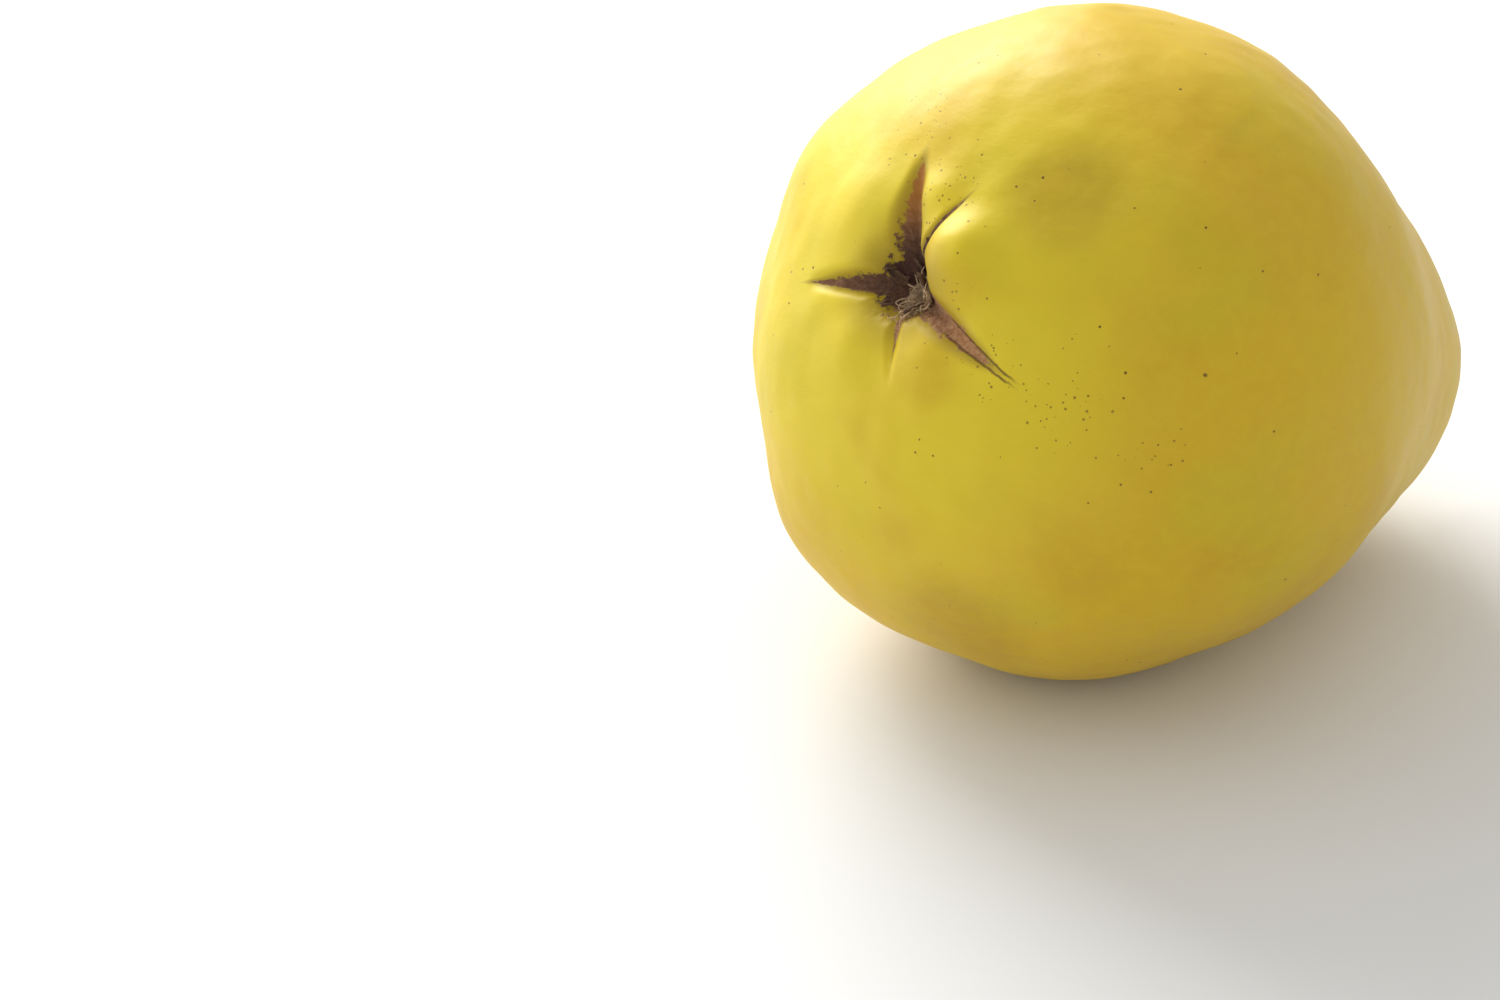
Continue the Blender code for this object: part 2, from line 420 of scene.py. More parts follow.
class QuinceFlowerSettings(bpy.types.PropertyGroup):
    """The dried flower in the eye."""

    threads: IntProperty(name="Threads", description="Dried stamens in the tuft", default=44, min=5)
    fuzz: IntProperty(name="Fuzz", description="Fine hairs on the floor of the pit", default=600, min=0)
    thread_radius: length_setting("Thread radius", "Radius of one dried stamen", 0.10 * MM)
    hair_radius: length_setting("Hair radius", "Radius of one fine hair", 0.04 * MM)
    sepal_thickness: length_setting("Sepal thickness", "Thickness of a dried sepal", 0.22 * MM)
    sepal: colour_setting("Sepal", "Dry sepal", (0.17, 0.10, 0.06))
    thread: colour_setting("Thread", "Dry stamen", (0.76, 0.54, 0.33))


class QuinceStemSettings(bpy.types.PropertyGroup):
    """The woody stub of the stem."""

    segments: IntProperty(name="Segments", description="Quads round the stem", default=72, min=12)
    bark: colour_setting("Bark", "Outside of the stem", (0.15, 0.085, 0.04))
    wood: colour_setting("Wood", "Broken end of the stem", (0.36, 0.24, 0.12))


class QuinceStageSettings(bpy.types.PropertyGroup):
    """Floor, light and camera."""

    floor: colour_setting("Floor", "Pale floor", (0.82, 0.82, 0.81))
    azimuth: FloatProperty(name="Azimuth", description="Camera's turn about +Z", default=-44.0)
    elevation: FloatProperty(name="Elevation", description="Camera's height angle", default=30.0)
    distance: length_setting("Distance", "From the camera to the fruit", 0.80)
    view_width: length_setting("View width", "Width of the view at the fruit", 0.1971)
    key: FloatProperty(name="Key light", description="Top light in watts", default=7.0, min=0.0)
    fill: FloatProperty(name="Fill light", description="Side light in watts", default=2.0, min=0.0)
    sky: FloatProperty(name="Sky", description="Strength of the surroundings", default=0.70, min=0.0)


# ---------------------------------------------------------------------------
# Fruit
# ---------------------------------------------------------------------------
def unevenness(points, size, seed, waves=28):
    """Smooth random rise and fall, mostly within -1 to 1, with lumps of about the given size in metres."""
    rng = np.random.default_rng(seed)
    headings = rng.normal(size=(3, waves))
    headings = headings / np.linalg.norm(headings, axis=0)
    rates = 2.0 * pi / (size * rng.uniform(1.0, 2.6, waves))
    phases = rng.uniform(0.0, 2.0 * pi, waves)
    return np.sin(points @ (headings * rates) + phases).sum(axis=-1) / sqrt(waves)


# For each furrow: half width of the cork at the pit and at its end, length, painted shade at the pit and at
# its end, rust at its end
CORKS = (
    (0.0031, 0.0014, 0.0168, 0.85, 0.05, 1.0),
    (0.0026, 0.0004, 0.0164, 0.75, 0.60, 0.15),
    (0.0013, 0.0003, 0.0095, 0.30, 0.10, 0.0),
    (0.0026, 0.0012, 0.0195, 0.45, 0.0, 0.2),
    (0.0011, 0.0003, 0.0150, 0.90, 0.60, 0.1),
)
# Distance from the eye's axis, turn, radius, share of specks
SPECK_PATCHES = (
    (0.0262, 117, 0.0040, 0.55),
    (0.0195, 112, 0.0035, 0.85),
    (0.0150, 88, 0.0045, 1.0),
    (0.0200, 351, 0.0040, 0.75),
    (0.0302, 354, 0.0055, 0.65),
    (0.0440, 354, 0.0040, 0.60),
    (0.0100, 18, 0.0028, 0.60),
    (0.0145, 338, 0.0030, 0.40),
)
CORK_PIT_RADIUS = 0.0056
CORK_END_FADE = 0.0030
# The lit side of the pit, where its painted shade is lightest and the dry mat lies: distances from the
# eye's axis towards the side and the upper side
LIT_PIT_SIDE = (0.0040, -0.0040)

# Distance from the eye's axis, turn, radius
SPOT_PLACE = (0.0469, 11, 0.00045)
# Painted shade: brown patches low on the flank and in the valley behind the knob.
LOW_FLANK_SHADE = (0.0515, 292, 0.0150)
VALLEY_SHADE = (0.0290, 55, 0.0120)


def cork_marks(out, turn):
    """Corkiness (above 0 inside), painted shade and rust of the cork, and the share of specks, at each
    place.
    """
    pit_out = np.hypot(*flat_place(out, turn, PIT_PLACE))
    from_lit_side = np.hypot(*flat_place(out, turn, LIT_PIT_SIDE))
    corky = 1.0 - pit_out / CORK_PIT_RADIUS
    # Painted shade: the pit's cork darkens away from its lit side.
    cork_shade = 0.05 + 0.9 * ramp((from_lit_side - 4.0 * MM) / (4.5 * MM))
    rust = np.zeros_like(out)
    for place, look in zip(furrow_places(out, turn), CORKS):
        along, across = place[:2]
        wide, narrow, length, shade_at_pit, shade_at_end, rust_end = look
        share = np.clip(along / length, 0.0, 1.0)
        past = np.maximum(along - length, -along) / CORK_END_FADE
        inside = 1.0 - np.abs(across) / (wide + (narrow - wide) * share) - 0.5 * share ** 5
        inside = np.maximum(inside - np.maximum(past, 0.0), -2.0)
        better = inside > corky
        corky = np.where(better, inside, corky)
        # Painted shade: the deep furrows darken towards the pit.
        cork_shade = np.where(better, shade_at_pit + (shade_at_end - shade_at_pit) * ramp((share - 0.2) / 0.75), cork_shade)
        rust = np.where(better, rust_end * ramp((share - 0.35) / 0.5), rust)
    specks = np.zeros_like(out)
    for patch_out, patch_turn, radius, share in SPECK_PATCHES:
        patch = (patch_out * cos(radians(patch_turn)), patch_out * sin(radians(patch_turn)))
        specks = np.maximum(specks, share * bell(np.hypot(*flat_place(out, turn, patch)) / radius))
    return np.stack((corky, cork_shade, rust, specks), axis=-1)


def furrow_mask(out, turn, widen=1.0):
    """How deep in any furrow each place is, from 0 to 1 in the deepest."""
    mask = np.zeros_like(out)
    for along, across, run, half_width, depth in furrow_places(out, turn):
        share = min(1.0, depth / FURROWS[0][3])
        mask = np.maximum(mask, share * furrow_shape(along, across, run, widen * half_width))
    return mask


BROAD_WAVE = 0.0140
SMALL_WAVE = 0.0040
SMALL_WAVE_SHARE = 0.2
WRINKLE_WAVE = 0.0007
WRINKLE_STRETCH = (1.0, 1.0, 0.35)
CREASE_DEPTH = 0.0008
PUCKER_COUNT = 7.0
PUCKER_DEPTH = 0.00035


def stem_puckers(rays):
    """Small folds that run into the stem's dimple, in metres."""
    from_neck = GIRTH_RADIUS * np.radians(angle_from(rays, NECK_POLAR, NECK_TURN))
    first = rays @ direction(NECK_POLAR - 90.0, NECK_TURN)
    second = rays @ direction(90.0, NECK_TURN + 90.0)
    strength = bell((from_neck - 0.8 * DIMPLE_RADIUS) / (0.5 * DIMPLE_RADIUS))
    return PUCKER_DEPTH * np.cos(PUCKER_COUNT * np.arctan2(first, second)) * strength


def fine_relief(points, polar, turn, settings):
    """Waves of the skin, wrinkles of the corky furrows and puckers of the stem's dimple, in metres."""
    out = GIRTH_RADIUS * np.radians(polar)
    broad = unevenness(points, BROAD_WAVE, 1) * settings.waviness
    small = unevenness(points, SMALL_WAVE, 2) * SMALL_WAVE_SHARE * settings.waviness
    pit = plateau(np.hypot(*flat_place(out, turn, PIT_PLACE)) / (1.1 * PIT_RADIUS))
    corky = np.clip(1.6 * furrow_mask(out, turn, 0.9) + pit, 0.0, 1.0)
    rays = direction(polar, turn)
    streaks = rays * np.array(WRINKLE_STRETCH)
    wrinkle = unevenness(streaks * GIRTH_RADIUS, WRINKLE_WAVE, 3, 60) * settings.wrinkle * corky
    crease = -CREASE_DEPTH * furrow_mask(out, turn, 0.35) * (1.0 - pit)
    off_the_floor = ramp((points[:, 2] - 1.0 * MM) / (4.0 * MM))
    off_the_eye = ramp(out / (20.0 * MM))
    return (broad * off_the_eye + small) * off_the_floor + wrinkle + crease + stem_puckers(rays)


END_CROWDING = 0.22
EYE_CROWDING = 0.30


def ring_angles(count):
    """Polar angles of the rings, crowded at the eye and a little at the stem."""
    even = np.linspace(0.0, 1.0, count + 1)
    by_ends = END_CROWDING * np.sin(2.0 * pi * even) / pi
    by_eye = EYE_CROWDING * even * np.square(1.0 - even)
    return 180.0 * (even - by_ends - by_eye)


def fruit_mesh(settings):
    """Rings of quads from the eye to the stem, closed by a fan at each end, laid on the skin.

    The mesh carries where each vertex is round the eye, how corky and specked it is, and how much painted
    shade its cork takes.
    """
    around = settings.segments
    rings = ring_angles(settings.rings)
    grid_polar, grid_turn = np.meshgrid(rings[1:-1], np.arange(around) * 360.0 / around, indexing="ij")
    polar = np.concatenate((grid_polar.ravel(), (0.0, 180.0)))
    turn = np.concatenate((grid_turn.ravel(), (0.0, 0.0)))
    points = skin(polar, turn, fine_relief(skin(polar, turn), polar, turn, settings))
    index = np.arange(len(grid_polar) * around).reshape(-1, around)
    following = np.roll(index, -1, axis=1)
    quads = np.stack((index[:-1], index[1:], following[1:], following[:-1]), axis=-1).reshape(-1, 4)
    eye, stem = len(polar) - 2, len(polar) - 1
    fans = [(eye, a, b) for a, b in zip(index[0].tolist(), following[0].tolist())]
    fans += [(stem, b, a) for a, b in zip(index[-1].tolist(), following[-1].tolist())]
    mesh = bpy.data.meshes.new("fruit_skin")
    mesh.from_pydata(points.tolist(), [], quads.tolist() + fans)
    mesh.shade_smooth()
    out = GIRTH_RADIUS * np.radians(polar)
    where = mesh.attributes.new("eye_place", "FLOAT_VECTOR", "POINT")
    places = np.stack((out * np.cos(np.radians(turn)), out * np.sin(np.radians(turn)), out), axis=-1)
    where.data.foreach_set("vector", places.ravel())
    marks = mesh.color_attributes.new("cork_marks", "FLOAT_COLOR", "POINT")
    marks.data.foreach_set("color", cork_marks(out, turn).ravel())
    return mesh


def near(x, y, place):
    """1 at the middle of a round place near the eye, fading to 0 at its radius."""
    out, turn, radius = place
    dx = x - out * cos(radians(turn))
    dy = y - out * sin(radians(turn))
    return ((dx * dx + dy * dy) ** 0.5).step(0.3 * radius, radius, 1.0, 0.0)


def ripe_colour(shader, place, x, y, out, settings):
    """Lemon at the eye end and gold on the flank, partly the skin's tone and partly painted shade, with
    faint green and amber patches and two brown patches of painted shade.
    """
    patches = shader.noise(place, 30 * MM, 2.0)
    # Partly painted shade: the skin turns from lemon at the lit eye end to darker gold on the flank.
    eye_end = out.step(14 * MM, 60 * MM, 1.0, 0.0)
    colour = shader.mix((eye_end + (patches - 0.5) * 0.8).step(0.0, 1.0), settings.shaded_gold, settings.lemon)
    drift = shader.noise(shader.shift(place, (0.3, 0.1, 0.0)), 20 * MM, 2.0, 0.5, "Color")
    colour = shader.mix(drift.part("X").step(0.5, 0.72, 0.0, 0.45), colour, settings.amber)
    colour = shader.mix(drift.part("Y").step(0.5, 0.72, 0.0, 0.40), colour, settings.green)
    # Painted shade: brown laid in the valley behind the knob and low on the flank.
    colour = shader.mix(near(x, y, VALLEY_SHADE) * 0.5, colour, settings.brown_shade)
    return shader.mix(near(x, y, LOW_FLANK_SHADE) * 0.5, colour, settings.brown_shade)


PORE_SPACING = 0.0026
SPECK_SPACING = 0.00055
MOTTLE_SIZE = 0.0020
RAGGED_SIZE = 0.0011
GRAIN_SIZE = 0.0005
SKIN_WAVE = 0.0035
SKIN_RELIEF = 0.0002


def skin_material(settings):
    """Waxy yellow skin with pores and scuffs, and brown cork in the furrows and the pit."""
    shader = Shader("quince_skin")
    place = shader.place()
    eye = shader.attribute("eye_place", "Vector")
    x = eye.part("X")
    y = eye.part("Y")
    out = eye.part("Z")
    marks = shader.attribute("cork_marks", "Color")
    edge = marks.part("X")
    cork_shade = marks.part("Y")
    rust = marks.part("Z")
    speck_share = shader.attribute("cork_marks", "Alpha")
    colour = ripe_colour(shader, place, x, y, out, settings)
    fine = shader.noise(place, MOTTLE_SIZE, 4.0, 0.6)
    colour = shader.mix(fine.step(0.35, 0.75, 0.0, 0.18), colour, settings.lemon)

    # Breathing pores: sparse dark dots, and many small specks in a few patches
    pore_cell = shader.cells(place, PORE_SPACING, "Color")
    pore_size = pore_cell.part("Y") * 0.05 + 0.03
    pores = (shader.cells(place, PORE_SPACING) < pore_size) * (pore_cell.part("X") > 0.5)
    speck_cell = shader.cells(place, SPECK_SPACING, "Color")
    speck_size = speck_cell.part("Y") * 0.30 + 0.07
    chosen = (1.0 - speck_cell.part("X")) < speck_share * 0.6
    specks = (shader.cells(place, SPECK_SPACING) < speck_size) * chosen
    spots = pores + specks * 0.75 + near(x, y, SPOT_PLACE)
    colour = shader.mix(spots.least(1.0) * 0.85, colour, settings.dots)

    # Cork: the furrows' floors and the pit, with painted shade in their depths, an olive tint round them
    # that is partly painted shade, and two cracks past one furrow
    ragged = shader.noise(place, RAGGED_SIZE, 3.0, 0.65) - 0.5
    grain = shader.noise(shader.stretch(eye, (1.0, 1.0, 0.3)), GRAIN_SIZE, 3.0, 0.7)
    cork = (edge + ragged * 1.3).step(-0.02, 0.22)
    # Partly the skin's green tint, partly painted shade beside the furrows and the pit.
    colour = shader.mix(edge.step(-1.2, 0.1, 0.0, 0.7), colour, settings.olive_tint_and_shade)
    cracks = double_crack(shader, x, y, ragged)
    brown = shader.mix(grain.step(0.35, 0.7), settings.cork, settings.bloom)
    brown = shader.mix(rust + ragged * 0.4, brown, settings.rust)
    # Painted shade: near-black russet where the pit and the deep furrows lie in shade.
    brown = shader.mix((cork_shade + ragged * 0.5).step(0.1, 1.0), brown, settings.cork_shade)
    colour = shader.mix(cork, colour, brown)
    colour = shader.mix(cracks * 0.8, colour, settings.dots)

    roughness = 0.40 + fine * 0.15 + cork * 0.35
    waves = shader.noise(shader.stretch(place, (1.0, 1.0, 2.2)), SKIN_WAVE, 3.0, 0.55)
    height = waves * 0.5 + fine * 0.08 - (cracks + pores * 0.5) * 0.4 + cork * grain * 0.8
    normal = shader.bump(height, SKIN_RELIEF)
    material = shader.finish(Base_Color=colour, Roughness=roughness.least(1.0), Normal=normal)
    sockets = {
        "IOR": 1.45,
        "Specular IOR Level": 0.34,
        "Specular Tint": (1.0, 0.98, 0.92),
        "Subsurface Weight": 0.10,
        "Subsurface Radius": (1.0, 0.6, 0.15),
        "Subsurface Scale": 3.0 * MM,
    }
    shader.connect(shader.principled, sockets)
    return material


CRACKED_FURROW = 3
CRACK_START = 0.0100
CRACK_END = 0.0260
CRACKS_APART = 0.0012
CRACK_HALF_WIDTH = 0.00010


def double_crack(shader, x, y, ragged):
    """Two thin cracks that run on from one furrow and draw together."""
    turn = radians(FURROWS[CRACKED_FURROW][0])
    from_x = x - PIT_PLACE[0]
    from_y = y - PIT_PLACE[1]
    along = from_x * cos(turn) + from_y * sin(turn)
    across = from_y * cos(turn) - from_x * sin(turn) + ragged * (0.5 * MM)
    apart = along.step(CRACK_START, CRACK_END, CRACKS_APART, 0.35 * MM)
    line = abs(abs(across) - apart).step(CRACK_HALF_WIDTH, 0.24 * MM, 1.0, 0.0)
    return line * along.step(9 * MM, 13 * MM) * along.step(23 * MM, CRACK_END, 1.0, 0.0)


class QUINCE_OT_fruit(bpy.types.Operator):
    """Make the fruit's skin over its solid"""

    bl_idname = "quince.fruit"
    bl_label = "Fruit"

    def execute(self, context):
        settings = context.scene.quince_fruit
        mesh = fruit_mesh(settings)
        mesh.materials.append(skin_material(settings))
        add_piece("fruit_skin", mesh, "quince_skin", "fruit")
        return {"FINISHED"}


def add_piece(name, data, slot, *nodes):
    """Link a mesh or curve as a piece that stands for CAD nodes and rides on the fruit's body."""
    piece = bpy.data.objects.new(name, data)
    bpy.context.scene.collection.objects.link(piece)
    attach(piece, "root")
    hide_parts(*nodes)
    return piece


# ---------------------------------------------------------------------------
# Dried flower
# ---------------------------------------------------------------------------
def dry_material(name, colour, size):
    """Dry matt plant matter, mottled and fibrous."""
    shader = Shader(name)
    place = shader.place()
    mottle = shader.noise(place, size, 4.0, 0.65)
    fibres = shader.noise(shader.stretch(place, (1.0, 4.0, 1.0)), 0.25 * size, 3.0)
    shade = tuple(0.5 * c for c in colour)
    pale = tuple(min(1.0, 1.7 * c) for c in colour)
    body = shader.mix(mottle.step(0.3, 0.7), shade, colour)
    body = shader.mix(fibres.step(0.5, 0.8, 0.0, 0.6), body, pale)
    normal = shader.bump(fibres + mottle, 0.08 * MM)
    material = shader.finish(Base_Color=body, Roughness=0.75 + mottle * 0.2, Normal=normal)
    shader.connect(shader.principled, {"Specular IOR Level": 0.25})
    return material


SEPAL_RUN = 0.0026
SEPAL_HALF_WIDTH = 0.0007


def sepal_mesh(number, rng):
    """A narrow dried scrap that climbs the pit's wall, curls in at its sides and ends in a torn tip."""
    bm = bmesh.new()
    bmesh.ops.create_grid(bm, x_segments=28, y_segments=10, size=0.5)
    flat = np.array([vertex.co for vertex in bm.verts])
    along = flat[:, 0] + 0.5
    across = 2.0 * flat[:, 1]
    turn = SEPAL_FIRST_TURN + (number - 1) * 360.0 / SEPAL_COUNT + rng.uniform(-6.0, 6.0)
    length = SEPAL_RUN * rng.uniform(0.85, 1.15)
    phase = rng.uniform(0.0, 2.0 * pi)
    belly = 0.75 + 0.5 * np.sin(pi * (0.15 + 0.75 * along))
    half_width = SEPAL_HALF_WIDTH * belly * (1.0 - 0.75 * along ** 3)
    frayed = half_width * (1.0 + 0.12 * np.sin(17.0 * along + phase) * np.abs(across))
    sway = 0.25 * MM * np.sin(5.0 * along + phase)
    curl = 0.35 * MM * np.square(across) * (0.4 + along)
    crinkle = 0.06 * MM * np.sin(23.0 * along + 4.0 * across + phase)
    lift = 0.35 * MM + 0.5 * MM * along ** 2 + curl + crinkle
    points = skin_near_eye(SEPAL_START + length * along, frayed * across + sway, turn, lift)
    for vertex, point in zip(bm.verts, points):
        vertex.co = point
    mesh = bpy.data.meshes.new("sepal_scrap_%d" % number)
    bm.to_mesh(mesh)
    bm.free()
    mesh.shade_smooth()
    return mesh


class QUINCE_OT_sepals(bpy.types.Operator):
    """Make the five dried sepals round the floor of the pit"""

    bl_idname = "quince.sepals"
    bl_label = "Sepals"

    def execute(self, context):
        settings = context.scene.quince_flower
        rng = np.random.default_rng(5)
        dry = dry_material("dried_sepal", tuple(settings.sepal), 0.9 * MM)
        for number in range(1, SEPAL_COUNT + 1):
            mesh = sepal_mesh(number, rng)
            mesh.materials.append(dry)
            sepal = add_piece("sepal_scrap_%d" % number, mesh, "dried_sepal", "sepal_%d" % number)
            shell = sepal.modifiers.new("thickness", "SOLIDIFY")
            shell.thickness = settings.sepal_thickness
            shell.offset = 0.0
        return {"FINISHED"}


# Along and across from the pit's middle, at turn 0
TUFT_PLACE = (0.0018, -0.0011)


def thread_paths(count, length, rise, rng):
    """Curling paths that start on the pit's floor and end above it, each a list of points."""
    eye = body_axes()[2]
    for _ in range(count):
        turn = rng.uniform(0.0, 360.0)
        start = 2.6 * MM * sqrt(rng.uniform(0.0, 1.0))
        heading = turn + rng.uniform(-70.0, 70.0)
        winding = rng.uniform(-320.0, 320.0)
        size = length * rng.uniform(0.6, 1.2)
        steps = np.linspace(0.0, 1.0, 14)
        angle = np.radians(heading + winding * steps ** 1.4)
        x = TUFT_PLACE[0] + start * cos(radians(turn)) + np.cumsum(np.cos(angle)) * size / len(steps)
        y = TUFT_PLACE[1] + start * sin(radians(turn)) + np.cumsum(np.sin(angle)) * size / len(steps)
        height = rise * rng.uniform(0.4, 1.2) * np.sin(pi * (0.05 + 0.85 * steps)) + 0.05 * MM
        yield place_near_eye(x, y, 0.0) + height[:, None] * eye


def thread_curve(name, groups):
    """One curve object's data from groups of paths, each with its own radius."""
    data = bpy.data.curves.new(name, "CURVE")
    data.dimensions = "3D"
    data.bevel_depth = 1.0
    data.bevel_resolution = 1
    data.use_fill_caps = True
    for paths, radius in groups:
        for path in paths:
            spline = data.splines.new("POLY")
            spline.points.add(len(path) - 1)
            spline.use_smooth = True
            for k, (point, place) in enumerate(zip(spline.points, path)):
                point.co = (*place, 1.0)
                point.radius = radius * (1.0 - 0.5 * k / len(path))
    return data


class QUINCE_OT_stamens(bpy.types.Operator):
    """Make the tuft of curled dried stamens and the fuzz on the floor of the pit"""

    bl_idname = "quince.stamens"
    bl_label = "Stamens"

    def execute(self, context):
        settings = context.scene.quince_flower
        rng = np.random.default_rng(11)
        threads = thread_paths(settings.threads, 3.3 * MM, 1.6 * MM, rng)
        hairs = thread_paths(settings.fuzz, 1.7 * MM, 0.8 * MM, rng)
        groups = ((threads, settings.thread_radius), (hairs, settings.hair_radius))
        tuft = thread_curve("stamen_tuft", groups)
        tuft.materials.append(dry_material("dried_stamens", tuple(settings.thread), 1.2 * MM))
        add_piece("stamen_tuft", tuft, "dried_stamens", "stamens")
        return {"FINISHED"}


# ---------------------------------------------------------------------------
# Stem
# ---------------------------------------------------------------------------
def stem_mesh(settings):
    """A ridged woody stub with a swollen foot and a splintered end, stood in the dimple."""
    bm = bmesh.new()
    bmesh.ops.create_uvsphere(bm, u_segments=settings.segments, v_segments=STEM_ROWS, radius=1.0)
    ball = np.array([vertex.co for vertex in bm.verts])
    along = 1.0 - np.arccos(np.clip(ball[:, 2], -1.0, 1.0)) / pi
    angle = np.arctan2(ball[:, 1], ball[:, 0])
    shaft = np.power(np.clip(1.0 - np.power(np.abs(2.0 * along - 1.0), 9), 0.0, 1.0), 0.5)
    foot = 0.22 * bell((along - 0.12) / 0.12) + 0.12 * bell((along - 0.86) / 0.1)
    ridges = 0.05 * np.cos(9.0 * angle + 4.0 * along) + 0.03 * np.cos(17.0 * angle - 6.0 * along)
    radius = 0.9 * STEM_RADIUS * shaft * (0.86 + foot + ridges * shaft)
    splinter = 0.25 * MM * np.cos(5.0 * angle) * np.power(along, 8)
    height = -0.4 * MM + (STEM_LENGTH + 0.3 * MM) * along + splinter * shaft
    bend = 0.25 * MM * np.square(along)
    local = np.stack((radius * np.cos(angle) + bend, radius * np.sin(angle), height), axis=-1)
    outward = Vector(direction(NECK_POLAR, NECK_TURN) @ body_axes())
    floor = Vector(skin(np.array(NECK_POLAR), np.array(NECK_TURN)))
    upright = outward.to_track_quat("Z", "Y").to_matrix()
    for vertex, point in zip(bm.verts, local):
        vertex.co = floor + upright @ Vector(point)
    bmesh.ops.recalc_face_normals(bm, faces=bm.faces)
    mesh = bpy.data.meshes.new("stem_stub")
    bm.to_mesh(mesh)
    bm.free()
    mesh.shade_smooth()
    heights = mesh.attributes.new("along", "FLOAT", "POINT")
    heights.data.foreach_set("value", along)
    return mesh


def bark_material(settings):
    """Rough brown bark with a paler broken end."""
    shader = Shader("stem_wood")
    place = shader.place()
    along = shader.attribute("along")
    grain = shader.noise(shader.stretch(place, (0.35, 1.0, 1.0)), 0.6 * MM, 4.0, 0.65)
    bark = shader.mix(grain.step(0.3, 0.7), tuple(0.4 * c for c in settings.bark), settings.bark)
    pale = shader.mix(grain.step(0.35, 0.7), settings.bark, settings.wood)
    colour = shader.mix((along + (grain - 0.5) * 0.1).step(0.9, 0.97), bark, pale)
    normal = shader.bump(grain, 0.15 * MM)
    return shader.finish(Base_Color=colour, Roughness=0.7 + grain * 0.25, Normal=normal)


class QUINCE_OT_stem(bpy.types.Operator):
    """Make the woody stub of the stem"""

    bl_idname = "quince.stem"
    bl_label = "Stem"

    def execute(self, context):
        settings = context.scene.quince_stem
        mesh = stem_mesh(settings)
        mesh.materials.append(bark_material(settings))
        add_piece("stem_stub", mesh, "stem_wood", "stem")
        return {"FINISHED"}


# ---------------------------------------------------------------------------
# Stage
# ---------------------------------------------------------------------------
FLOOR_SIZE = 4.0
# How far right and up of the view's middle the fruit stands, as shares of the view's width
FRUIT_RIGHT = 0.218
FRUIT_UP = 0.112
# Direction as the camera sees it (right, up, back), distance, size
KEY_LIGHT = ((-0.45, 0.82, -0.42), 0.7, 0.5)
FILL_LIGHT = ((-0.95, 0.25, -0.15), 0.9, 0.7)


def view_axes(azimuth, elevation):
    """Right, up and back directions of a camera that looks at the fruit."""
    a = radians(azimuth)
    e = radians(elevation)
    back = Vector((sin(a) * cos(e), -cos(a) * cos(e), sin(e)))
    right = Vector((cos(a), sin(a), 0.0))
    return right, back.cross(right), back


def add_floor(settings):
    """A wide pale floor."""
    shader = Shader("floor")
    mottle = shader.noise(shader.place(), 0.4, 2.0)
    colour = shader.mix(mottle * 0.2, tuple(settings.floor), tuple(0.97 * c for c in settings.floor))
    bm = bmesh.new()
    bmesh.ops.create_grid(bm, x_segments=8, y_segments=8, size=FLOOR_SIZE / 2.0)
    mesh = bpy.data.meshes.new("floor")
    bm.to_mesh(mesh)
    bm.free()
    mesh.materials.append(shader.finish(Base_Color=colour, Roughness=0.8))
    floor = bpy.data.objects.new("floor", mesh)
    bpy.context.scene.collection.objects.link(floor)


def add_camera(settings, target):
    """A long lens that looks down on the eye end, with the fruit up and to the right of the middle."""
    right, up, back = view_axes(settings.azimuth, settings.elevation)
    camera = bpy.data.objects.new("camera", bpy.data.cameras.new("camera"))
    bpy.context.scene.collection.objects.link(camera)
    camera.data.sensor_width = 36.0
    camera.data.lens = camera.data.sensor_width * settings.distance / settings.view_width
    camera.location = target + settings.distance * back
    aim = target - FRUIT_RIGHT * settings.view_width * right - FRUIT_UP * settings.view_width * up
    camera.rotation_euler = (aim - camera.location).to_track_quat("-Z", "Y").to_euler()
    bpy.context.scene.camera = camera


def add_soft_light(name, settings, target, heading, distance, size, power):
    """A square soft light, placed by its direction as the camera sees it."""
    right, up, back = view_axes(settings.azimuth, settings.elevation)
    lamp = bpy.data.lights.new(name, "AREA")
    lamp.shape = "SQUARE"
    lamp.size = size
    lamp.energy = power
    light = bpy.data.objects.new(name, lamp)
    bpy.context.scene.collection.objects.link(light)
    way = (heading[0] * right + heading[1] * up + heading[2] * back).normalized()
    light.location = target + distance * way
    light.rotation_euler = (-way).to_track_quat("-Z", "Y").to_euler()


def add_surroundings(strength):
    """Even white light from all round."""
    world = bpy.data.worlds.new("studio")
    world.use_nodes = True
    background = world.node_tree.nodes["Background"]
    background.inputs["Color"].default_value = (1.0, 1.0, 1.0, 1.0)
    background.inputs["Strength"].default_value = strength
    bpy.context.scene.world = world


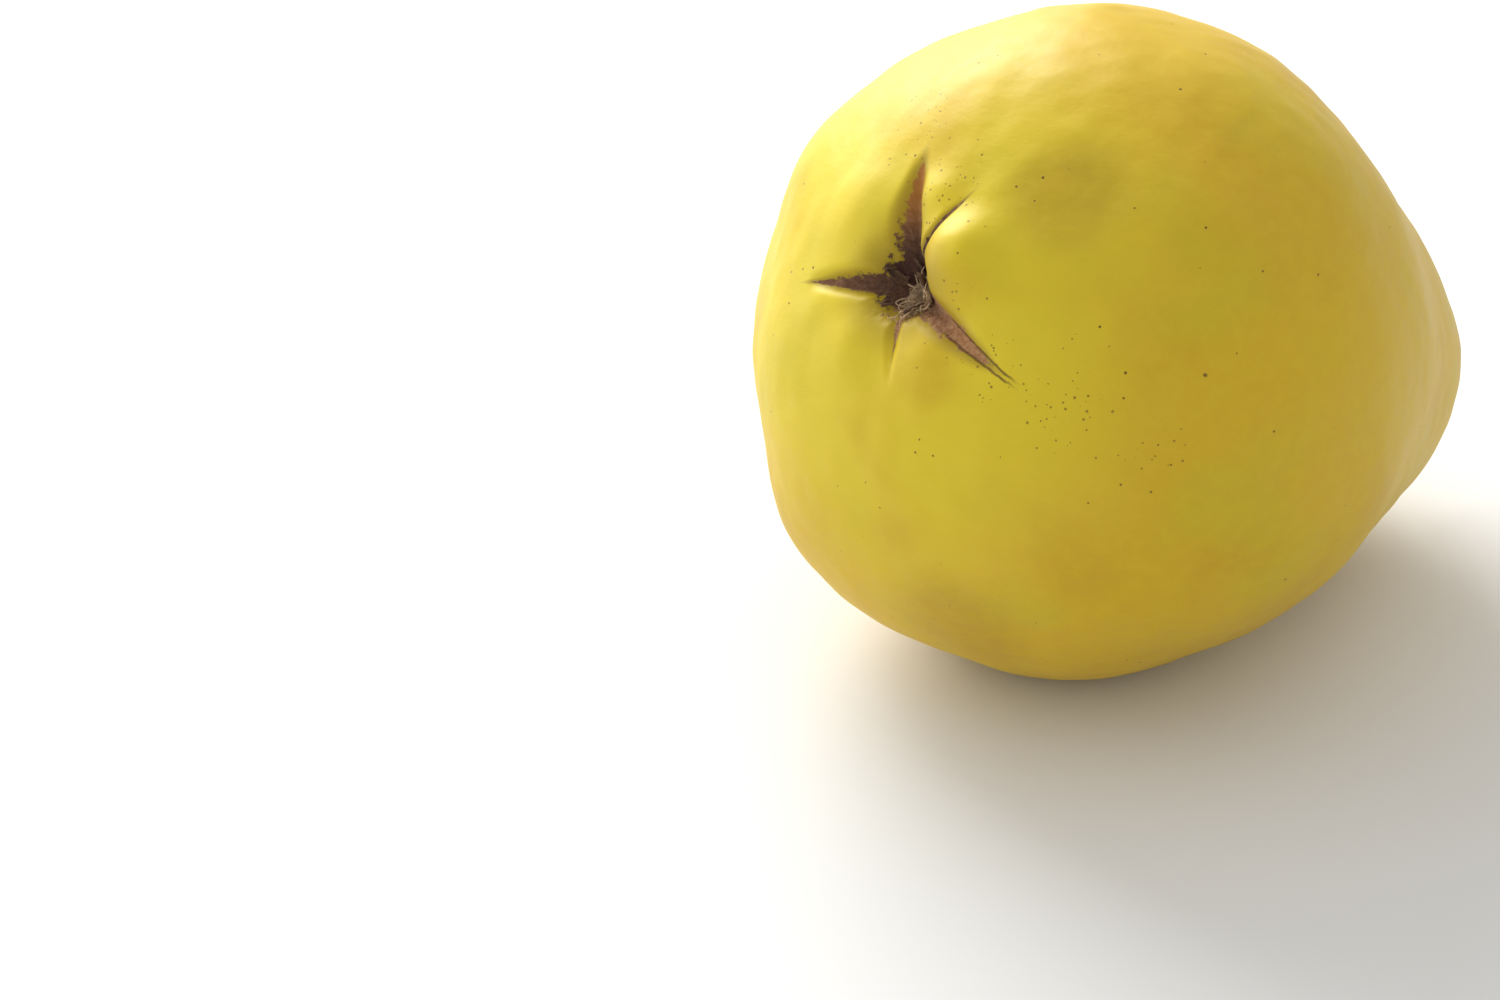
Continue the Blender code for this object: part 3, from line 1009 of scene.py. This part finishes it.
class QUINCE_OT_stage(bpy.types.Operator):
    """Make the floor, the soft lights and the camera"""

    bl_idname = "quince.stage"
    bl_label = "Stage"

    def execute(self, context):
        settings = context.scene.quince_stage
        target = Vector(BODY_CENTRE)
        add_floor(settings)
        add_camera(settings, target)
        add_soft_light("key", settings, target, *KEY_LIGHT, settings.key)
        add_soft_light("fill", settings, target, *FILL_LIGHT, settings.fill)
        add_surroundings(settings.sky)
        context.scene.view_settings.view_transform = "Standard"
        return {"FINISHED"}


# ---------------------------------------------------------------------------
# Panel and registration
# ---------------------------------------------------------------------------
class QUINCE_PT_panel(bpy.types.Panel):
    """Lists the quince's pieces and their settings"""

    bl_idname = "QUINCE_PT_panel"
    bl_label = "Quince"
    bl_space_type = "VIEW_3D"
    bl_region_type = "UI"
    bl_category = "Quince"

    def draw(self, context):
        for operator, group in STEPS:
            box = self.layout.box()
            box.operator(operator.bl_idname)
            settings = getattr(context.scene, group)
            for name in settings.bl_rna.properties.keys():
                if name not in ("rna_type", "name"):
                    box.prop(settings, name)


GROUPS = {
    "quince_fruit": QuinceFruitSettings,
    "quince_flower": QuinceFlowerSettings,
    "quince_stem": QuinceStemSettings,
    "quince_stage": QuinceStageSettings,
}
STEPS = (
    (QUINCE_OT_fruit, "quince_fruit"),
    (QUINCE_OT_sepals, "quince_flower"),
    (QUINCE_OT_stamens, "quince_flower"),
    (QUINCE_OT_stem, "quince_stem"),
    (QUINCE_OT_stage, "quince_stage"),
)


def register():
    """Register the settings, the operators and the panel."""
    for name, group in GROUPS.items():
        bpy.utils.register_class(group)
        setattr(bpy.types.Scene, name, PointerProperty(type=group))
    for operator, _ in STEPS:
        bpy.utils.register_class(operator)
    bpy.utils.register_class(QUINCE_PT_panel)


def unregister():
    """Take everything out again."""
    bpy.utils.unregister_class(QUINCE_PT_panel)
    for operator, _ in reversed(STEPS):
        bpy.utils.unregister_class(operator)
    for name, group in GROUPS.items():
        delattr(bpy.types.Scene, name)
        bpy.utils.unregister_class(group)


def main():
    """Build every piece in order."""
    register()
    bpy.ops.quince.fruit()
    bpy.ops.quince.sepals()
    bpy.ops.quince.stamens()
    bpy.ops.quince.stem()
    bpy.ops.quince.stage()


if __name__ == "__main__":
    main()
